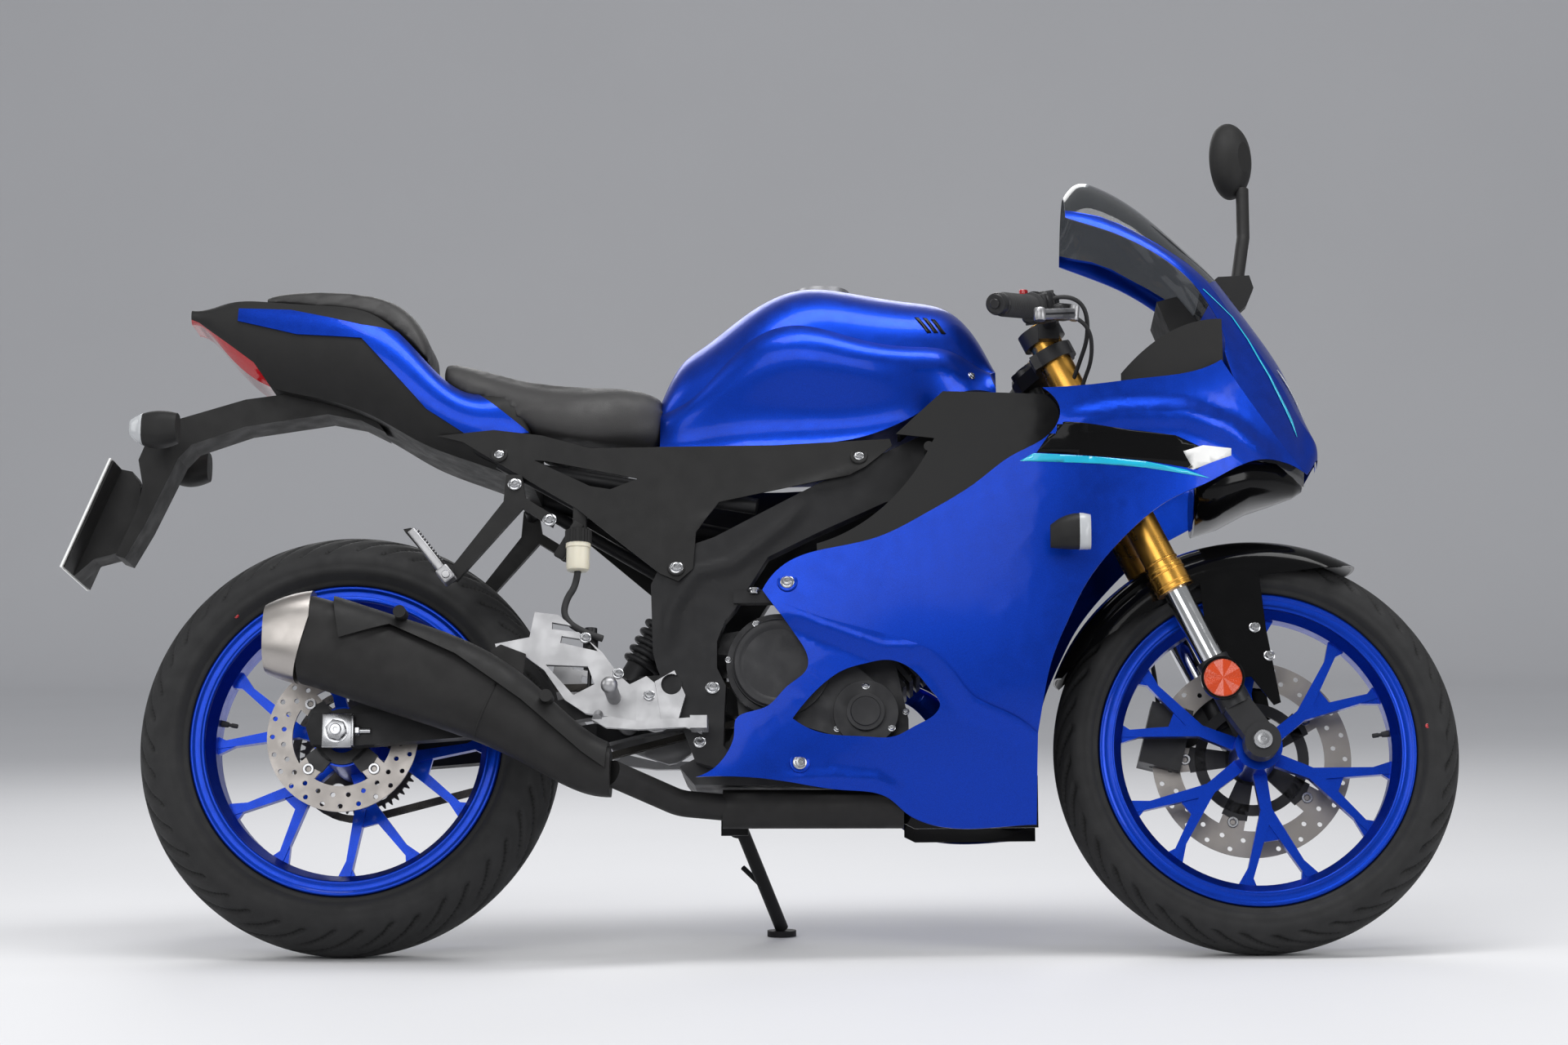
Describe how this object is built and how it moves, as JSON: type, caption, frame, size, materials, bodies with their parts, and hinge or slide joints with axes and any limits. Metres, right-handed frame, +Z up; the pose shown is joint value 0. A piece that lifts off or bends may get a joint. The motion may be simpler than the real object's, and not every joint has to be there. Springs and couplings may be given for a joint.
{
  "type": "sport_bike",
  "caption": "Small full-faired sport motorcycle with a stepped two-piece seat, upswept tail, wedge muffler and clip-on bars, leaning to the left on its side stand.",
  "frame": {"origin": "bottom centre of the bounding box, on the floor", "axes": "+X to the front wheel along the bike's length, +Y to the bike's left, +Z up; the bike leans to +Y"},
  "size_m": [2.043, 0.745, 1.2567],
  "materials": {
    "amber_lens": "clear amber",
    "blue_paint": "gloss metallic",
    "brushed_steel": "brushed",
    "cast_silver": "bead blasted",
    "chain_steel": "oiled",
    "dark_casting": "painted, satin",
    "disc_steel": "ground",
    "engine_metal": "satin",
    "frame_paint": "satin",
    "gloss_black": "gloss",
    "gold_anodising": "anodised, satin",
    "grip_rubber": "matt",
    "hard_chrome": "polished",
    "lamp_lens": "clear",
    "matte_black": "matt",
    "plate_white": "satin",
    "red_lens": "clear red",
    "reservoir_plastic": "translucent",
    "satin_exhaust": "satin, dark",
    "seat_vinyl": "fine grain",
    "smoke_screen": "smoked, clear",
    "tyre_rubber": "matt"
  },
  "bodies": {
    "chassis": {"brake_reservoir": "reservoir_plastic", "chain": "chain_steel", "cockpit_trim": "matte_black", "dash": "matte_black", "engine": "engine_metal", "exhaust_pipe": "satin_exhaust", "filler_cap": "cast_silver", "foot_controls": "cast_silver", "footrests": "cast_silver", "front_cowl": "blue_paint", "front_stay": "matte_black", "headlamp": "lamp_lens", "inner_fairings": "gloss_black", "main_frame": "frame_paint", "mirror": "matte_black", "muffler": "satin_exhaust", "muffler_cap": "brushed_steel", "muffler_cover": "matte_black", "number_plate": "plate_white", "pillion_pegs": "matte_black", "pillion_seat": "seat_vinyl", "plate_hanger": "matte_black", "radiator": "engine_metal", "rear_caliper": "dark_casting", "rear_shock": "engine_metal", "rider_seat": "seat_vinyl", "side_covers": "matte_black", "side_fairings_lower": "blue_paint", "side_fairings_upper": "blue_paint", "swingarm": "frame_paint", "tail_body": "matte_black", "tail_cheeks": "blue_paint", "tail_lamp": "red_lens", "tank_cover": "blue_paint", "turn_signals": "matte_black", "windscreen": "smoke_screen"},
    "steering": {"fork_tubes": "gold_anodising", "fork_stanchions": "hard_chrome", "fork_feet": "dark_casting", "fork_clamps": "dark_casting", "handlebars": "dark_casting", "grips": "grip_rubber", "front_mudguard": "gloss_black", "front_caliper": "dark_casting", "reflectors": "amber_lens"},
    "front_wheel": {"front_rim": "blue_paint", "front_tyre": "tyre_rubber", "front_disc": "disc_steel"},
    "rear_wheel": {"rear_rim": "blue_paint", "rear_tyre": "tyre_rubber", "rear_disc": "disc_steel", "rear_sprocket": "chain_steel"},
    "side_stand": {"side_stand": "frame_paint"}
  },
  "joints": [
    {"name": "steering", "type": "hinge", "parent": "chassis", "child": "steering", "pos_m": [0.43378, -0.01138, 0.78155], "axis": [-0.4384, 0.2022, 0.8758], "range_deg": [-30, 30]},
    {"name": "front_wheel", "type": "hinge", "parent": "steering", "child": "front_wheel", "pos_m": [0.72897, -0.12535, 0.2879], "axis": [0, 0.9744, -0.225], "continuous": true},
    {"name": "rear_wheel", "type": "hinge", "parent": "chassis", "child": "rear_wheel", "pos_m": [-0.59603, -0.12138, 0.30508], "axis": [0, 0.9744, -0.225], "continuous": true},
    {"name": "side_stand", "type": "hinge", "parent": "chassis", "child": "side_stand", "pos_m": [-0.03153, -0.0262, 0.17945], "axis": [-0.0466, 0.8724, 0.4865], "range_deg": [0, 92]}
  ]
}
